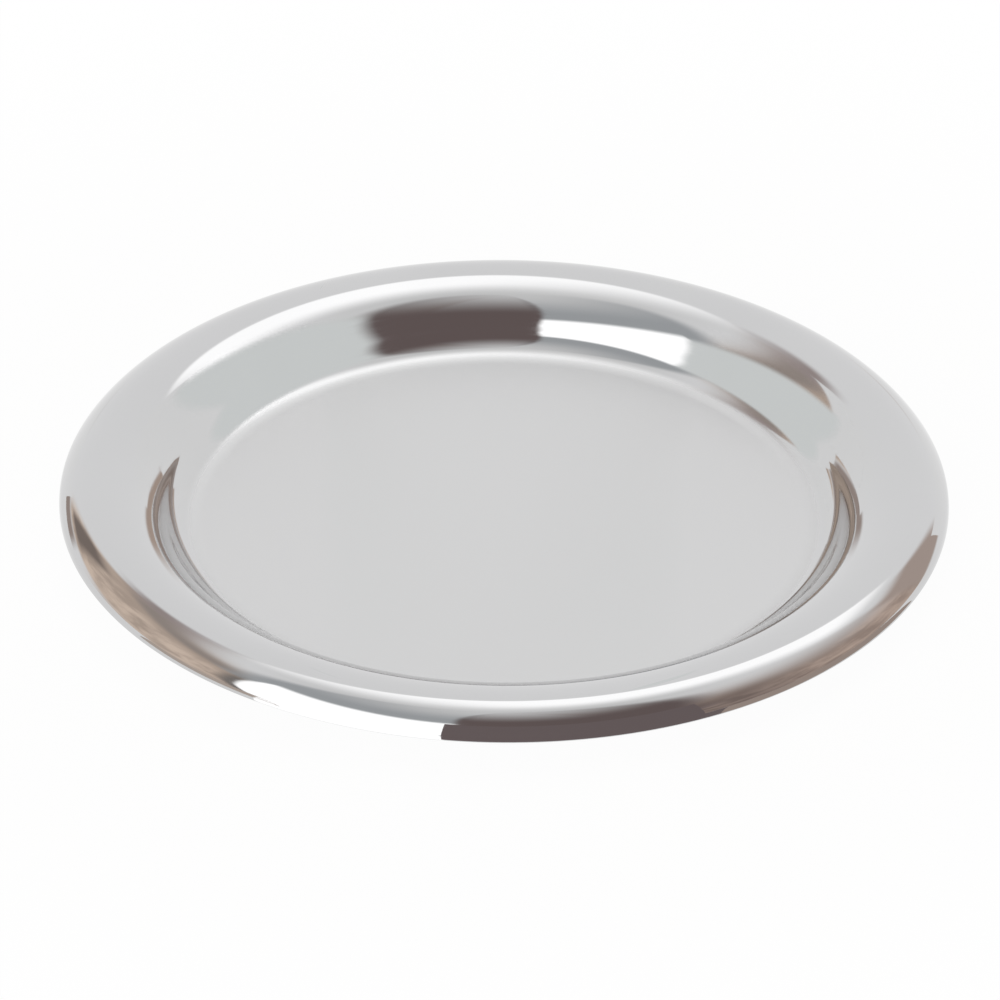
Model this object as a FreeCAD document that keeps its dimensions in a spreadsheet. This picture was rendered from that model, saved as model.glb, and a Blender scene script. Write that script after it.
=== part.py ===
# Round coin tray, pressed from one disc of stainless steel sheet.
# Millimetres, +Z up, origin at the centre of the face that the tray stands on.
import FreeCAD, Part
import math
import os
import Sketcher
from FreeCAD import Vector

# Driving sizes: lengths in millimetres, angles in degrees.
SIZES = {
    "rim_diameter": 140.0,  # across the outside of the turned-down rim
    "tray_height": 9.3,  # table to the crest of the rim
    "sheet_thickness": 0.8,  # the same in the floor, the wall and the rim
    "corner_radius": 7.0,  # floor up into the wall, on the coin side
    "crest_radius": 13.0,  # wall over to the crest, on the coin side
    "shoulder_radius": 7.0,  # crest outward, on the outside
    "shoulder_turn": 55.0,  # angle that the shoulder turns through
    "rim_radius": 2.4,  # shoulder down to the trimmed edge, on the outside
    "edge_break_share": 0.3,  # each corner taken off the trimmed edge, of the sheet's thickness
}

# Places in a sketch element that a constraint can name.
START, END, CENTRE = 1, 2, 3
ORIGIN = -1


def add_sheet(doc, sizes):
    sheet = doc.addObject("Spreadsheet::Sheet", "sizes")
    for row, (name, value) in enumerate(sizes.items(), start=1):
        sheet.set(f"A{row}", name)
        sheet.set(f"B{row}", str(value))
        sheet.setAlias(f"B{row}", name)
    doc.recompute()
    return sheet


def arc(centre, radius, first_angle, last_angle):
    circle = Part.Circle(centre, Vector(0, 0, 1), radius)
    return Part.ArcOfCircle(circle, first_angle, last_angle)


def section_places(sheet):
    # Where the arcs of the section have their centres, on the radius and above the table.
    # The wall is steepest where the corner's arc meets the crest's.
    wall_radius = sheet.corner_radius + sheet.crest_radius
    climb = sheet.tray_height - sheet.sheet_thickness
    slope = math.acos(1 - climb / wall_radius)
    turn = math.radians(sheet.shoulder_turn)
    rim_reach = sheet.rim_diameter / 2 - sheet.rim_radius
    inset = sheet.shoulder_radius - sheet.rim_radius
    crest_reach = rim_reach - inset * math.sin(turn)
    floor_reach = crest_reach - wall_radius * math.sin(slope)
    shoulder_height = sheet.tray_height - sheet.shoulder_radius
    corner_centre = Vector(floor_reach, sheet.sheet_thickness + sheet.corner_radius)
    crest_centre = Vector(crest_reach, sheet.tray_height - sheet.crest_radius)
    shoulder_centre = Vector(crest_reach, shoulder_height)
    rim_centre = Vector(rim_reach, shoulder_height + inset * math.cos(turn))
    return slope, turn, corner_centre, crest_centre, shoulder_centre, rim_centre


def draw_section(sketch, sheet):
    # Half of the tray cut through its axis. The coin side and the underside are arcs about
    # shared centres, so the steel keeps its thickness, and the trimmed edge has its corners off.
    slope, turn, corner_centre, crest_centre, shoulder_centre, rim_centre = section_places(sheet)
    level = math.pi / 2
    steel = sheet.sheet_thickness

    def side(floor_height, depth):
        corner = arc(corner_centre, sheet.corner_radius + depth, -level, slope - level)
        crest = arc(crest_centre, sheet.crest_radius - depth, level, level + slope)
        shoulder = arc(shoulder_centre, sheet.shoulder_radius - depth, level - turn, level)
        rim = arc(rim_centre, sheet.rim_radius - depth, 0, level - turn)
        floor = Part.LineSegment(Vector(0, floor_height), corner.StartPoint)
        return [sketch.addGeometry(line, False) for line in (floor, corner, crest, shoulder, rim)]

    coin_side = side(steel, 0)
    underside = side(0, steel)
    axis = sketch.addGeometry(Part.LineSegment(Vector(0, 0), Vector(0, steel)), False)
    outer = rim_centre + Vector(sheet.rim_radius, 0)
    inner = outer - Vector(steel, 0)
    cut = steel * sheet.edge_break_share
    corners = [outer, outer - Vector(cut, cut), inner + Vector(cut, -cut), inner]
    edge = [sketch.addGeometry(Part.LineSegment(a, b), False) for a, b in zip(corners, corners[1:])]
    return coin_side, underside, axis, edge


def constrain_section(sketch, sheet, coin_side, underside, axis, edge):
    def fix(kind, *places):
        return sketch.addConstraint(Sketcher.Constraint(kind, *places))

    def size(name, expression, kind, *places):
        index = fix(kind, *places)
        sketch.renameConstraint(index, name)
        sketch.setExpression(f"Constraints.{name}", expression)

    for floor, corner, crest, shoulder, rim in (coin_side, underside):
        fix("Horizontal", floor)
        fix("Tangent", floor, END, corner, START)
        fix("Tangent", corner, END, crest, END)
        fix("Tangent", crest, START, shoulder, END)
        fix("Tangent", shoulder, START, rim, END)

    floor, corner, crest, shoulder, rim = coin_side
    floor_under, corner_under, crest_under, shoulder_under, rim_under = underside
    outer_break, land, inner_break = edge
    fix("Coincident", axis, START, ORIGIN, START)
    fix("Coincident", floor_under, START, axis, START)
    fix("Coincident", floor, START, axis, END)
    fix("Vertical", axis)
    fix("Coincident", corner_under, CENTRE, corner, CENTRE)
    fix("Coincident", crest_under, CENTRE, crest, CENTRE)
    fix("Coincident", shoulder_under, CENTRE, shoulder, CENTRE)
    fix("Coincident", rim_under, CENTRE, rim, CENTRE)
    fix("Vertical", crest, CENTRE, crest, START)
    fix("Horizontal", rim, CENTRE, rim, START)
    fix("Horizontal", rim_under, START, rim, START)
    fix("Horizontal", land)
    fix("Coincident", outer_break, START, rim, START)
    fix("Coincident", land, START, outer_break, END)
    fix("Coincident", inner_break, START, land, END)
    fix("Coincident", inner_break, END, rim_under, START)

    steel = sheet.sheet_thickness
    turn = math.radians(sheet.shoulder_turn)
    cut = steel * sheet.edge_break_share
    cut_size = "sizes.sheet_thickness * sizes.edge_break_share"
    size("floor_steel", "sizes.sheet_thickness", "DistanceY", axis, START, axis, END, steel)
    for name, line in (("outer", outer_break), ("inner", inner_break)):
        size(f"{name}_run", cut_size, "DistanceX", line, END, line, START, cut)
    size("edge_rise", cut_size, "DistanceY", land, START, rim, START, cut)
    size("corner", "sizes.corner_radius", "Radius", corner, sheet.corner_radius)
    size("crest", "sizes.crest_radius", "Radius", crest, sheet.crest_radius)
    size("shoulder", "sizes.shoulder_radius", "Radius", shoulder, sheet.shoulder_radius)
    size("turn", "sizes.shoulder_turn * 1 deg", "Angle", shoulder, turn)
    size("rim", "sizes.rim_radius", "Radius", rim, sheet.rim_radius)
    size("height", "sizes.tray_height", "DistanceY", ORIGIN, START, crest, START, sheet.tray_height)
    size("reach", "sizes.rim_diameter / 2", "DistanceX", ORIGIN, START, rim, START, sheet.rim_diameter / 2)


def make_tray(doc, sheet):
    body = doc.addObject("PartDesign::Body", "pressed_tray")
    body.Label = "pressed_tray"
    sketch = body.newObject("Sketcher::SketchObject", "sheet_section")
    upright = next(plane for plane in body.Origin.OriginFeatures if plane.Role == "XZ_Plane")
    sketch.AttachmentSupport = [(upright, "")]
    sketch.MapMode = "FlatFace"
    constrain_section(sketch, sheet, *draw_section(sketch, sheet))
    doc.recompute()

    dish = body.newObject("PartDesign::Revolution", "spun_dish")
    dish.Profile = sketch
    dish.ReferenceAxis = (sketch, ["V_Axis"])
    doc.recompute()
    return body


def check_document(doc, bodies):
    for item in doc.Objects:
        if "Invalid" in item.State or "Error" in item.State:
            raise RuntimeError(f"{item.Label} failed: {item.State}")
    for body in bodies:
        if body.Shape.isNull() or not body.Shape.isValid():
            raise RuntimeError(f"{body.Label} has no valid shape")


def main():
    doc = FreeCAD.newDocument("coin_tray")
    sheet = add_sheet(doc, SIZES)
    bodies = [make_tray(doc, sheet)]
    doc.recompute()
    check_document(doc, bodies)
    os.makedirs("parts", exist_ok=True)
    for body in bodies:
        body.Shape.exportStep(f"parts/{body.Label}.step")
        box = body.Shape.optimalBoundingBox()
        sides = f"{box.XLength:.2f} x {box.YLength:.2f} x {box.ZLength:.2f}"
        print(f"{body.Label}: {sides} mm, {body.Shape.Volume:.0f} mm3, {len(body.Shape.Solids)} solid")


main()
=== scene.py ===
# Round coin tray pressed from one disc of stainless steel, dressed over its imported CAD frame.
import bpy
import math
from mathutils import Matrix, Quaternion, Vector


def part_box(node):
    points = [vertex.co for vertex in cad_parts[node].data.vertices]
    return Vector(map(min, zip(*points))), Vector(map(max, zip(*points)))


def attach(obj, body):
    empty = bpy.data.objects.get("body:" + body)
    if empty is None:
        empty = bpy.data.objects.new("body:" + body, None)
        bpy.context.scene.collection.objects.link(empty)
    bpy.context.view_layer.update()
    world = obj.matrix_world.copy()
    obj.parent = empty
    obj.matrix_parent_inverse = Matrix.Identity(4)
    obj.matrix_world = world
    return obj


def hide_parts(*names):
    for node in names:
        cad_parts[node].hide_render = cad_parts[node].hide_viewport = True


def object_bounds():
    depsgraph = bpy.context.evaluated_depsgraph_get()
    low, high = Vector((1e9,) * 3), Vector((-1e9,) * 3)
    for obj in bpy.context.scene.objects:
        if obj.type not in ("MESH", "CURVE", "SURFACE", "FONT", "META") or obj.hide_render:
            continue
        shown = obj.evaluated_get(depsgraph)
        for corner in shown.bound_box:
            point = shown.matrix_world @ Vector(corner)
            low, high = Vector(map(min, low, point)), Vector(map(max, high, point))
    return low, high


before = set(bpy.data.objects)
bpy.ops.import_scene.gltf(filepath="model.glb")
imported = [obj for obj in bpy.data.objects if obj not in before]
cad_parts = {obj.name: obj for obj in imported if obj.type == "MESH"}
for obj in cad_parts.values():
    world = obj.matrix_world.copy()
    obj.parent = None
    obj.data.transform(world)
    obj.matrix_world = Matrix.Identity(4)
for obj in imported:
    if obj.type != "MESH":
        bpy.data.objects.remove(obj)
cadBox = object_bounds()
scene = bpy.context.scene
scene.view_settings.view_transform = "Standard"
print("frame loaded:", ", ".join(sorted(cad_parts)))


def startFresh():
    if bpy.context.mode != "OBJECT":
        bpy.ops.object.mode_set(mode="OBJECT")
    bpy.ops.object.select_all(action="DESELECT")


def addNode(tree, kind, **settings):
    node = tree.nodes.new(kind)
    for name, value in settings.items():
        setattr(node, name, value)
    return node


def feed(tree, source, socket):
    # a socket gets a link from another node's socket, or a plain value
    if hasattr(source, "is_output"):
        tree.links.new(source, socket)
    else:
        socket.default_value = source


def calc(tree, operation, first, second=0.0):
    node = addNode(tree, "ShaderNodeMath", operation=operation)
    feed(tree, first, node.inputs[0])
    feed(tree, second, node.inputs[1])
    return node.outputs[0]


def ease(tree, value, start, end, low=0.0, high=1.0):
    # goes from low at start to high at end, slow at both ends
    node = addNode(tree, "ShaderNodeMapRange", interpolation_type="SMOOTHSTEP")
    for socket, number in zip(node.inputs, (value, start, end, low, high)):
        feed(tree, number, socket)
    return node.outputs[0]


def blendColour(tree, factor, first, second):
    node = addNode(tree, "ShaderNodeMix", data_type="RGBA")
    feed(tree, factor, node.inputs[0])
    feed(tree, first, node.inputs[6])  # 6 and 7 are the node's colour sockets
    feed(tree, second, node.inputs[7])
    return node.outputs[2]


def noise(tree, vector, scale, detail=2.0, roughness=0.5):
    node = addNode(tree, "ShaderNodeTexNoise")
    feed(tree, vector, node.inputs["Vector"])
    node.inputs["Scale"].default_value = scale
    node.inputs["Detail"].default_value = detail
    node.inputs["Roughness"].default_value = roughness
    return node.outputs["Fac"]


def newMaterial(name):
    material = bpy.data.materials.new(name)
    material.use_nodes = True
    tree = material.node_tree
    return material, tree, tree.nodes["Principled BSDF"]


def grey(level):
    return (level, level, level, 1.0)


# camera, where the photograph was taken from
cameraSet = {
    "target": Vector((0, 0, 0.0008)),  # middle of the tray's floor
    "elevation": 32.187,
    "distance": 1.79713,
    "roll": 0.438,  # right side of the picture a little low
    "aimLeft": 0.000642,  # the picture's middle is beside the target
    "aimUp": 0.003192,
    "lens": 410.61,
    "sensor": 36.0,
    "nearest": 0.01,
}


def placeCamera(c):
    rise = math.radians(c["elevation"])
    toCamera = Vector((0, -math.cos(rise), math.sin(rise)))
    pictureUp = Vector((0, math.sin(rise), math.cos(rise)))
    place = c["target"] + toCamera * c["distance"]
    aim = c["target"] + pictureUp * c["aimUp"] - Vector((c["aimLeft"], 0, 0))
    startFresh()
    bpy.ops.object.camera_add(location=place)
    camera = bpy.context.object
    camera.name = "photoCamera"
    turn = (aim - place).to_track_quat("-Z", "Y") @ Quaternion((0, 0, 1), math.radians(c["roll"]))
    camera.rotation_euler = turn.to_euler()
    camera.data.lens = c["lens"]
    camera.data.sensor_width = c["sensor"]
    camera.data.clip_start = c["nearest"]
    scene.camera = camera


placeCamera(cameraSet)
print("camera placed")

# tray, one sheet of steel from the floor's middle to the trimmed edge
traySet = {
    "sheet": 0.0008,
    "cornerRadius": 0.007,  # floor up into the wall
    "crestRadius": 0.013,  # wall over to the crest
    "shoulderRadius": 0.007,  # crest outward
    "shoulderTurn": 55.0,
    "rimRadius": 0.0024,  # shoulder down to the edge
    "edgeBreak": 0.00024,
    "turns": 240,  # points round each ring
    "floorRings": (0.008, 0.018, 0.03, 0.04),
    "floorGuards": (0.0012, 0.0003),  # rings close inside the floor's edge keep it flat
    "cornerSteps": 24,
    "crestSteps": 28,
    "shoulderSteps": 20,
    "rimSteps": 14,
    "edgeSteps": 3,
    "edgeAngle": 60.0,  # only the trimmed edge's corners are sharper
    "smoothAngle": 35.0,
}


def traySection(t, rimReach, height):
    # radius and height of the coin side, ring by ring
    sheet, level = t["sheet"], math.pi / 2
    corner, crest, shoulder, rim = (t[k + "Radius"] for k in ("corner", "crest", "shoulder", "rim"))
    slope = math.acos(1 - (height - sheet) / (corner + crest))  # steepest, where corner and crest meet
    turn = math.radians(t["shoulderTurn"])
    crestReach = rimReach - rim - (shoulder - rim) * math.sin(turn)
    floorReach = crestReach - (corner + crest) * math.sin(slope)
    rimHeight = height - shoulder + (shoulder - rim) * math.cos(turn)  # middle of the last curve

    rings = [(reach, sheet) for reach in t["floorRings"]]
    rings += [(floorReach - guard, sheet) for guard in t["floorGuards"]]
    for step in range(t["cornerSteps"] + 1):
        lean = slope * step / t["cornerSteps"]
        rings.append((floorReach + corner * math.sin(lean), sheet + corner * (1 - math.cos(lean))))
    for step in range(1, t["crestSteps"] + 1):
        lean = slope * (1 - step / t["crestSteps"])
        rings.append((crestReach - crest * math.sin(lean), height - crest * (1 - math.cos(lean))))
    for step in range(1, t["shoulderSteps"] + 1):
        lean = turn * step / t["shoulderSteps"]
        rings.append((crestReach + shoulder * math.sin(lean), height - shoulder * (1 - math.cos(lean))))
    for step in range(1, t["rimSteps"] + 1):
        lean = turn + (level - turn) * step / t["rimSteps"]
        rings.append((rimReach - rim * (1 - math.sin(lean)), rimHeight + rim * math.cos(lean)))
    rings.append((rimReach, rimHeight - t["edgeBreak"]))
    return rings


def pressTray(t, nodeName):
    low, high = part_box(nodeName)
    rings = traySection(t, (high.x - low.x) / 2, high.z)
    startFresh()
    firstReach, firstHeight = rings[0]
    bpy.ops.mesh.primitive_circle_add(vertices=t["turns"], radius=firstReach, fill_type="TRIFAN")
    tray = bpy.context.object
    tray.name = "pressedTray"
    bpy.ops.object.mode_set(mode="EDIT")
    bpy.ops.mesh.select_all(action="SELECT")
    bpy.ops.transform.translate(value=(0, 0, firstHeight))
    bpy.ops.mesh.select_mode(type="EDGE")
    bpy.ops.mesh.select_all(action="DESELECT")
    bpy.ops.mesh.select_non_manifold(  # the open edge alone
        use_wire=False, use_multi_face=False, use_non_contiguous=False, use_verts=False)
    for (reach, height), (nextReach, nextHeight) in zip(rings, rings[1:]):
        grow = nextReach / reach
        rise = nextHeight - height
        bpy.ops.mesh.extrude_edges_move(TRANSFORM_OT_translate={"value": (0, 0, rise)})
        bpy.ops.transform.resize(value=(grow, grow, 1), center_override=(0, 0, 0))
    bpy.ops.object.mode_set(mode="OBJECT")
    return tray


def finishTray(tray, t, coatings):
    for material in coatings:
        tray.data.materials.append(material)
    wall = tray.modifiers.new("sheet", "SOLIDIFY")
    wall.thickness = t["sheet"]
    wall.offset = -1
    wall.use_even_offset = True
    wall.material_offset = 1
    wall.material_offset_rim = 2
    bpy.ops.object.modifier_apply(modifier="sheet")
    edge = tray.modifiers.new("trimmedEdge", "BEVEL")
    edge.width = t["edgeBreak"]
    edge.segments = t["edgeSteps"]
    edge.limit_method = "ANGLE"
    edge.angle_limit = math.radians(t["edgeAngle"])
    bpy.ops.object.modifier_apply(modifier="trimmedEdge")
    bpy.ops.object.shade_smooth_by_angle(angle=math.radians(t["smoothAngle"]))


# steel finishes
steelSet = {
    "lightSteel": (0.612, 0.612, 0.615, 1.0),
    "darkSteel": (0.586, 0.585, 0.588, 1.0),
    "satinSteel": (0.634, 0.634, 0.635, 1.0),
    "floorEdge": (0.0489, 0.0506),  # satin floor turns to polish in the corner
    "floorRoughness": (0.34, 0.37),
    "polishRoughness": (0.035, 0.075),
    "undersideRoughness": (0.22, 0.32),
    "edgeRoughness": (0.15, 0.3),
    "cloudScale": 45,
    "grainScale": 5200,
    "lineScale": (1.5, 6000.0),  # round the tray, and outward
    "lineSpread": (0.35, 0.75),
    "grainSpread": (0.3, 0.7),
    "undersideClouds": 60,
    "undersideGrain": 4000,
    "edgeGrain": 3000,
}


def coinSideSteel(s):
    material, tree, shader = newMaterial("coinSideSteel")
    place = addNode(tree, "ShaderNodeTexCoord").outputs["Object"]
    parts = addNode(tree, "ShaderNodeSeparateXYZ")
    feed(tree, place, parts.inputs[0])
    flat = addNode(tree, "ShaderNodeCombineXYZ")
    feed(tree, parts.outputs["X"], flat.inputs["X"])
    feed(tree, parts.outputs["Y"], flat.inputs["Y"])
    length = addNode(tree, "ShaderNodeVectorMath", operation="LENGTH")
    feed(tree, flat.outputs[0], length.inputs[0])
    reach = length.outputs["Value"]
    polish = ease(tree, reach, *s["floorEdge"])  # 0 on the floor, 1 on the wall and the rim

    cloud = noise(tree, place, s["cloudScale"], 3)
    grain = noise(tree, place, s["grainScale"], 1)
    colour = blendColour(tree, cloud, s["darkSteel"], s["lightSteel"])
    feed(tree, blendColour(tree, polish, s["satinSteel"], colour), shader.inputs["Base Color"])

    # polishing lines run round the tray
    around = addNode(tree, "ShaderNodeVectorMath", operation="NORMALIZE")
    feed(tree, flat.outputs[0], around.inputs[0])
    lineParts = addNode(tree, "ShaderNodeSeparateXYZ")
    feed(tree, around.outputs[0], lineParts.inputs[0])
    linePlace = addNode(tree, "ShaderNodeCombineXYZ")
    alongLine, outward = s["lineScale"]
    feed(tree, calc(tree, "MULTIPLY", lineParts.outputs["X"], alongLine), linePlace.inputs["X"])
    feed(tree, calc(tree, "MULTIPLY", lineParts.outputs["Y"], alongLine), linePlace.inputs["Y"])
    feed(tree, calc(tree, "MULTIPLY", reach, outward), linePlace.inputs["Z"])
    lines = noise(tree, linePlace.outputs[0], 1.0, 2)

    satin = ease(tree, grain, *s["grainSpread"], *s["floorRoughness"])
    mirror = ease(tree, lines, *s["lineSpread"], *s["polishRoughness"])
    gloss = addNode(tree, "ShaderNodeMix", data_type="FLOAT")
    feed(tree, polish, gloss.inputs[0])
    feed(tree, satin, gloss.inputs[2])  # 2 and 3 are its number sockets
    feed(tree, mirror, gloss.inputs[3])
    feed(tree, gloss.outputs[0], shader.inputs["Roughness"])
    shader.inputs["Metallic"].default_value = 1.0
    return material


def undersideSteel(s):
    material, tree, shader = newMaterial("undersideSteel")
    place = addNode(tree, "ShaderNodeTexCoord").outputs["Object"]
    cloud = noise(tree, place, s["undersideClouds"], 3)
    grain = noise(tree, place, s["undersideGrain"], 2)
    feed(tree, blendColour(tree, cloud, s["darkSteel"], s["lightSteel"]), shader.inputs["Base Color"])
    roughness = ease(tree, grain, *s["grainSpread"], *s["undersideRoughness"])
    feed(tree, roughness, shader.inputs["Roughness"])
    shader.inputs["Metallic"].default_value = 1.0
    return material


def trimmedSteel(s):
    material, tree, shader = newMaterial("trimmedSteel")
    place = addNode(tree, "ShaderNodeTexCoord").outputs["Object"]
    grain = noise(tree, place, s["edgeGrain"], 2)
    feed(tree, blendColour(tree, grain, s["darkSteel"], s["lightSteel"]), shader.inputs["Base Color"])
    roughness = ease(tree, grain, *s["grainSpread"], *s["edgeRoughness"])
    feed(tree, roughness, shader.inputs["Roughness"])
    shader.inputs["Metallic"].default_value = 1.0
    return material


tray = pressTray(traySet, "pressed_tray")
finishTray(tray, traySet, [coinSideSteel(steelSet), undersideSteel(steelSet), trimmedSteel(steelSet)])
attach(tray, "root")
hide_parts("pressed_tray")
print("tray pressed:", len(tray.data.polygons), "faces")

# studio: angles in degrees, azimuth 0 towards the camera and 90 to the right
studioSet = {
    "white": grey(1.0),  # what the camera sees behind the tray
    "sweep": (1.0, 1.0, 1.005, 1.0),
    "ceiling": grey(0.85),
    "ceilingRise": (56, 78),
    "softbox": grey(1.62),  # overhead, on a plane one unit above the tray
    "softboxTurn": 25,
    "softboxAlong": (0.02, 0.95, 0.25, 0.2),  # from, to, softness of both ends
    "softboxAcross": (0.17, 0.67, 0.19, 0.04),
    "softboxFoot": (0.3, 0.4),  # it fades out this far above the horizon
    "horizon": 0.05,  # rays lower than this are taken as this high
    "clutterStretch": (0.075, 0.05),  # streaks in the low part of the room
    "clutterDetail": (4, 0.65),
    "clutterSpread": (0.38, 0.62),
    "clutterTop": (42, 28),  # they come in between these elevations
}
# what stands in the room: from, to and the softness of both ends, in azimuth and in elevation;
# slope tilts a card, and widen spreads it sideways above an elevation, by a share for each degree
roomSet = {
    "rightRoom": {"azimuth": (38, 124, 4, 4), "elevation": (-95, 54, 2, 24), "slope": -0.4,
                  "colour": (0.44, 0.34, 0.29, 1.0), "clutter": (0.68, 0.53, 0.445, 1.0)},
    "rightCupboard": {"azimuth": (38, 80, 4, 14), "elevation": (-95, 46, 2, 14),
                      "colour": (0.26, 0.20, 0.178, 1.0), "clutter": (0.40, 0.31, 0.27, 1.0)},
    "leftRoom": {"azimuth": (-144, -62, 3, 3), "elevation": (8.5, 51, 2, 9),
                 "colour": (0.60, 0.485, 0.405, 1.0), "clutter": (0.90, 0.73, 0.605, 1.0)},
    "leftRoomFoot": {"azimuth": (-114, -62, 14, 3), "elevation": (-95, 14, 2, 3),
                     "colour": (0.64, 0.52, 0.44, 1.0), "clutter": (0.86, 0.70, 0.585, 1.0)},
    "rightDoor": {"azimuth": (119, 140, 3, 3), "elevation": (2.5, 35, 2, 5),
                  "colour": (0.54, 0.44, 0.39, 1.0)},
    "backShelf": {"azimuth": (-152, -122, 5, 20), "elevation": (42, 53, 4, 7),
                  "colour": (0.44, 0.37, 0.355, 1.0)},
    "leftBeam": {"azimuth": (-136, -80, 4, 3), "elevation": (41, 49, 3, 5),
                 "colour": (0.42, 0.36, 0.325, 1.0)},
    "leftDoor": {"azimuth": (-142, -131, 2, 3), "elevation": (12, 33, 2, 5),
                 "colour": (0.27, 0.22, 0.195, 1.0)},
    "rightSkirting": {"azimuth": (138, 166, 3, 4), "elevation": (-4, 7.5, 1, 1.5),
                      "colour": (0.52, 0.41, 0.345, 1.0)},
    "leftSkirting": {"azimuth": (-162, -132, 4, 3), "elevation": (-4, 7.5, 1, 1.5),
                     "colour": (0.42, 0.345, 0.31, 1.0)},
    "blueWall": {"azimuth": (-84, -11, 8, 2), "elevation": (40, 76, 2, 14), "widen": (45, 0.012),
                 "colour": (0.49, 0.51, 0.525, 1.0)},
    "leftPost": {"azimuth": (-68, -58, 3, 2), "elevation": (-30, 42, 5, 8), "widen": (0, 0.0045),
                 "colour": (0.26, 0.235, 0.22, 1.0)},
    "reflector": {"azimuth": (-63.5, -9, 1, 2), "elevation": (-95, 54, 2, 2.5), "widen": (0, 0.0045),
                  "colour": grey(1.75)},
    "darkSide": {"azimuth": (-12.5, 56, 1.5, 8), "elevation": (32, 79, 2, 17), "widen": (45, 0.022),
                 "colour": (0.178, 0.138, 0.134, 1.0), "clutter": (0.26, 0.205, 0.215, 1.0)},
}


def roomDirection(tree):
    # azimuth and elevation of a ray, with its plain direction
    parts = addNode(tree, "ShaderNodeSeparateXYZ")
    feed(tree, addNode(tree, "ShaderNodeTexCoord").outputs["Generated"], parts.inputs[0])
    x, y, z = parts.outputs
    elevation = calc(tree, "DEGREES", calc(tree, "ARCSINE", z))
    azimuth = calc(tree, "DEGREES", calc(tree, "ARCTAN2", x, calc(tree, "MULTIPLY", y, -1.0)))
    return azimuth, elevation, (x, y, z)


def between(tree, value, low, high, lowSoft, highSoft):
    rising = ease(tree, value, low - lowSoft, low + lowSoft)
    return calc(tree, "MULTIPLY", rising, ease(tree, value, high + highSoft, high - highSoft))


def studioWorld(s, cards):
    world = bpy.data.worlds.new("studio")
    scene.world = world
    world.use_nodes = True
    tree = world.node_tree
    azimuth, elevation, (x, y, z) = roomDirection(tree)
    room = blendColour(tree, ease(tree, elevation, *s["ceilingRise"]), s["sweep"], s["ceiling"])
    clutterPlace = addNode(tree, "ShaderNodeCombineXYZ")
    for value, socket, stretch in zip((azimuth, elevation), clutterPlace.inputs, s["clutterStretch"]):
        feed(tree, calc(tree, "MULTIPLY", value, stretch), socket)
    streaks = noise(tree, clutterPlace.outputs[0], 1.0, *s["clutterDetail"])
    clutter = ease(tree, streaks, *s["clutterSpread"])
    clutter = calc(tree, "MULTIPLY", clutter, ease(tree, elevation, *s["clutterTop"]))
    for c in cards.values():
        side, level = azimuth, elevation
        if "slope" in c:
            across = calc(tree, "SUBTRACT", azimuth, (c["azimuth"][0] + c["azimuth"][1]) / 2)
            level = calc(tree, "SUBTRACT", elevation, calc(tree, "MULTIPLY", across, c["slope"]))
        if "widen" in c:
            start, share = c["widen"]
            above = calc(tree, "MAXIMUM", calc(tree, "SUBTRACT", elevation, start), 0.0)
            grown = calc(tree, "ADD", calc(tree, "MULTIPLY", above, share), 1.0)
            side = calc(tree, "DIVIDE", azimuth, grown)
        inside = calc(tree, "MULTIPLY", between(tree, side, *c["azimuth"]),
                      between(tree, level, *c["elevation"]))
        colour = c["colour"]
        if "clutter" in c:
            colour = blendColour(tree, clutter, c["colour"], c["clutter"])
        room = blendColour(tree, inside, room, colour)

    above = calc(tree, "MAXIMUM", z, s["horizon"])
    overX = calc(tree, "DIVIDE", x, above)
    overY = calc(tree, "DIVIDE", y, above)
    turn = math.radians(s["softboxTurn"])
    cosTurn, sinTurn = math.cos(turn), math.sin(turn)
    along = calc(tree, "ADD", calc(tree, "MULTIPLY", overX, cosTurn),
                 calc(tree, "MULTIPLY", overY, sinTurn))
    across = calc(tree, "SUBTRACT", calc(tree, "MULTIPLY", overY, cosTurn),
                  calc(tree, "MULTIPLY", overX, sinTurn))
    inside = calc(tree, "MULTIPLY", between(tree, along, *s["softboxAlong"]),
                  between(tree, across, *s["softboxAcross"]))
    inside = calc(tree, "MULTIPLY", inside, ease(tree, z, *s["softboxFoot"]))
    room = blendColour(tree, inside, room, s["softbox"])

    seen = addNode(tree, "ShaderNodeLightPath").outputs["Is Camera Ray"]
    feed(tree, blendColour(tree, seen, room, s["white"]), tree.nodes["Background"].inputs["Color"])


floorSet = {
    "size": 8.0,
    "drop": 0.0001,  # keeps it clear of the tray's underside
    "paper": grey(0.9),
    "plain": (0.075, 0.2),  # turns to plain white between these distances from the tray's middle
    "lift": 0.96,  # share of plain white near the tray, where its shadow shows
}


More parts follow.
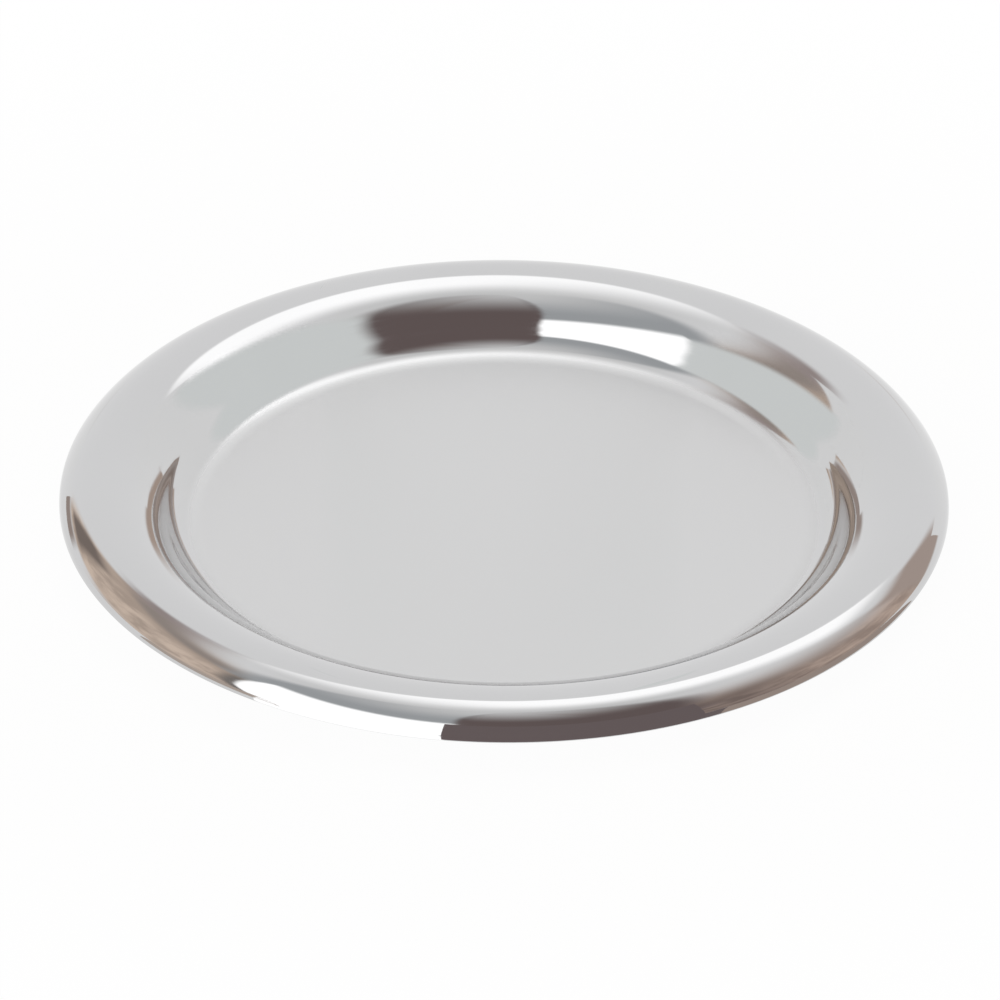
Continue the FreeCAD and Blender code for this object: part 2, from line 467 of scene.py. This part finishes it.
def paleFloor(f, white):
    startFresh()
    bpy.ops.mesh.primitive_plane_add(size=f["size"], location=(0, 0, -f["drop"]))
    floor = bpy.context.object
    floor.name = "paleFloor"
    material, tree, shader = newMaterial("palePaper")
    tree.nodes.remove(shader)
    paper = addNode(tree, "ShaderNodeBsdfDiffuse")
    paper.inputs["Color"].default_value = f["paper"]
    glow = addNode(tree, "ShaderNodeEmission")
    glow.inputs["Color"].default_value = white
    length = addNode(tree, "ShaderNodeVectorMath", operation="LENGTH")
    feed(tree, addNode(tree, "ShaderNodeTexCoord").outputs["Object"], length.inputs[0])
    rays = addNode(tree, "ShaderNodeLightPath")
    seen = calc(tree, "MAXIMUM", rays.outputs["Is Camera Ray"], rays.outputs["Is Glossy Ray"])
    seen = calc(tree, "MAXIMUM", seen, rays.outputs["Is Transmission Ray"])
    lift = ease(tree, length.outputs["Value"], *f["plain"], f["lift"], 1.0)
    mix = addNode(tree, "ShaderNodeMixShader")
    feed(tree, calc(tree, "MULTIPLY", seen, lift), mix.inputs[0])
    feed(tree, paper.outputs[0], mix.inputs[1])
    feed(tree, glow.outputs[0], mix.inputs[2])
    clear = addNode(tree, "ShaderNodeMixShader")  # nothing hides the tray from below
    feed(tree, addNode(tree, "ShaderNodeNewGeometry").outputs["Backfacing"], clear.inputs[0])
    feed(tree, mix.outputs[0], clear.inputs[1])
    feed(tree, addNode(tree, "ShaderNodeBsdfTransparent").outputs[0], clear.inputs[2])
    feed(tree, clear.outputs[0], tree.nodes["Material Output"].inputs["Surface"])
    floor.data.materials.append(material)


# cards near the tray that only the steel sees, from their front and in a first reflection, each fading
# out across the lines in its fades: weights of its two directions, where the line starts, how deep it is
panelSet = {
    "rightPanel": {"at": 0.030, "across": (-0.03, 0.14), "height": (0.012, 0.16),
                   "fades": [((0.885, -0.467), -0.030, 0.011), ((-0.743, 0.669), -0.022, 0.008),
                             ((0.5, 0.866), 0.040, 0.0015), ((0.0, -1.0), -0.15, 0.04)],
                   "light": (0.912, 0.942, 0.935, 1.0)},
    "rightSweep": {"at": 0.0302, "across": (0.03, 0.18), "height": (0.030, 0.14),
                   "fades": [((0.743, -0.669), 0.010, 0.004)], "light": grey(1.0)},
    "rightSweepFoot": {"at": 0.0302, "across": (0.03, 0.110), "height": (0.008, 0.030),
                       "fades": [((0.743, -0.669), 0.010, 0.004)], "light": grey(1.0)},
    "leftPanel": {"at": -0.030, "across": (-0.01, 0.14), "height": (0.012, 0.12),
                  "fades": [((0.92, -0.39), -0.004, 0.004), ((-0.85, 0.527), -0.052, 0.008),
                            ((0.5, 0.866), 0.040, 0.0015), ((0.69, -0.72), -0.050, 0.014),
                            ((0.0, -1.0), -0.092, 0.017)],
                  "light": (0.912, 0.942, 0.935, 1.0)},
    "leftSweep": {"at": -0.0302, "across": (0.03, 0.18), "height": (0.027, 0.14),
                  "fades": [((0.85, -0.527), 0.040, 0.004)], "light": grey(1.0)},
    "leftSweepFoot": {"at": -0.0302, "across": (0.03, 0.087), "height": (0.008, 0.027),
                      "fades": [((0.85, -0.527), 0.040, 0.004)], "light": grey(1.0)},
}
tableCards = {
    # the tray's rim between these angles sees the card in front of it
    "tanCard": {"angles": (-63, -34), "gap": 0.015, "light": (0.60, 0.51, 0.45, 1.0)},
    "whiteCard": {"angles": (-34, -7.6), "gap": 0.0005, "light": grey(1.75)},
    "darkCard": {"angles": (-7.6, 31), "gap": 0.006, "light": (0.21, 0.17, 0.17, 1.0)},
    "brownCard": {"angles": (31, 72), "gap": 0.006, "light": (0.46, 0.37, 0.325, 1.0)},
}
tableCardSet = {"lift": 0.0002, "steps": 16, "spread": 40.0}
# low strips close to the rim, which sees them while the inner wall and the floor look over them
rimStrips = {
    "backStrip": {"angles": (84, 268), "height": (0.002, 0.0100), "light": grey(1.0)},
    "darkStrip": {"angles": (-8.0, 27.5), "height": (0.001, 0.0132), "light": (0.20, 0.16, 0.16, 1.0)},
}
rimStripSet = {"gap": 0.0035, "steps": 60}


def glowMaterial(name, light, fades=None):
    material, tree, shader = newMaterial(name)
    tree.nodes.remove(shader)
    glow = addNode(tree, "ShaderNodeEmission")
    glow.inputs["Color"].default_value = light
    output = tree.nodes["Material Output"].inputs["Surface"]
    if fades is None:
        feed(tree, glow.outputs[0], output)
        return material
    place = addNode(tree, "ShaderNodeTexCoord").outputs["Object"]
    front = calc(tree, "SUBTRACT", 1.0, addNode(tree, "ShaderNodeNewGeometry").outputs["Backfacing"])
    rayDepth = addNode(tree, "ShaderNodeLightPath").outputs["Ray Depth"]
    firstMirror = calc(tree, "LESS_THAN", rayDepth, 1.5)  # depth is 1 in a first reflection, 2 in a second
    solid = calc(tree, "MULTIPLY", front, firstMirror)
    for weights, start, depth in fades:
        line = addNode(tree, "ShaderNodeVectorMath", operation="DOT_PRODUCT")
        feed(tree, place, line.inputs[0])
        line.inputs[1].default_value = weights
        solid = calc(tree, "MULTIPLY", ease(tree, line.outputs["Value"], start, start + depth), solid)
    mix = addNode(tree, "ShaderNodeMixShader")
    feed(tree, solid, mix.inputs[0])
    feed(tree, addNode(tree, "ShaderNodeBsdfTransparent").outputs[0], mix.inputs[1])
    feed(tree, glow.outputs[0], mix.inputs[2])
    feed(tree, mix.outputs[0], output)
    return material


def onlyForSteel(card, name, material):
    card.name = name
    card.data.materials.append(material)
    card.visible_camera = False
    card.visible_diffuse = False
    card.visible_shadow = False


def standPanel(name, c):
    startFresh()
    (left, right), (low, high) = c["across"], c["height"]
    middle = (c["at"], (left + right) / 2, (low + high) / 2)
    quarter = math.radians(-90 if c["at"] > 0 else 90)  # its front towards the tray
    bpy.ops.mesh.primitive_plane_add(size=1, location=middle, rotation=(0, quarter, 0))
    bpy.ops.transform.resize(value=(1, right - left, high - low))
    bpy.ops.object.transform_apply(location=True, rotation=True, scale=True)
    fades = [((0, a, b), start, depth) for (a, b), start, depth in c["fades"]]
    onlyForSteel(bpy.context.object, name, glowMaterial(name, c["light"], fades))


def curvedLine(angles, reach, height, steps):
    # a row of points round the tray, left in edit mode with all of it selected
    startFresh()
    first, last = (math.radians(angle) for angle in angles)
    bpy.ops.mesh.primitive_plane_add(size=0.001)
    bpy.ops.object.mode_set(mode="EDIT")
    bpy.ops.mesh.select_mode(type="VERT")
    bpy.ops.mesh.select_all(action="SELECT")
    bpy.ops.mesh.merge(type="CENTER")  # the small plane becomes the first point
    bpy.ops.transform.translate(value=(reach * math.sin(first), -reach * math.cos(first), height))
    bpy.ops.mesh.spin(steps=steps, angle=first - last, center=(0, 0, 0), axis=(0, 0, 1))
    bpy.ops.mesh.select_all(action="SELECT")
    return bpy.context.object


def layTableCard(name, c, t, rimReach):
    # a fan from the tray's rim outwards, spread about the point that a round mirror looks out from
    reach, spread = rimReach + c["gap"], t["spread"]
    card = curvedLine(c["angles"], reach, t["lift"], t["steps"])
    bpy.ops.mesh.extrude_edges_move()
    bpy.ops.transform.resize(value=(spread, spread, 1), center_override=(0, -reach / 2, t["lift"]))
    bpy.ops.object.mode_set(mode="OBJECT")
    onlyForSteel(card, name, glowMaterial(name, c["light"]))


def standRimStrip(name, c, r, rimReach):
    low, high = c["height"]
    strip = curvedLine(c["angles"], rimReach + r["gap"], low, r["steps"])
    bpy.ops.mesh.extrude_edges_move(TRANSFORM_OT_translate={"value": (0, 0, high - low)})
    bpy.ops.object.mode_set(mode="OBJECT")
    onlyForSteel(strip, name, glowMaterial(name, c["light"]))


for name, settings in panelSet.items():
    standPanel(name, settings)
for name, settings in tableCards.items():
    layTableCard(name, settings, tableCardSet, cadBox[1].x)
for name, settings in rimStrips.items():
    standRimStrip(name, settings, rimStripSet, cadBox[1].x)
studioWorld(studioSet, roomSet)
paleFloor(floorSet, studioSet["white"])
print("studio lit")
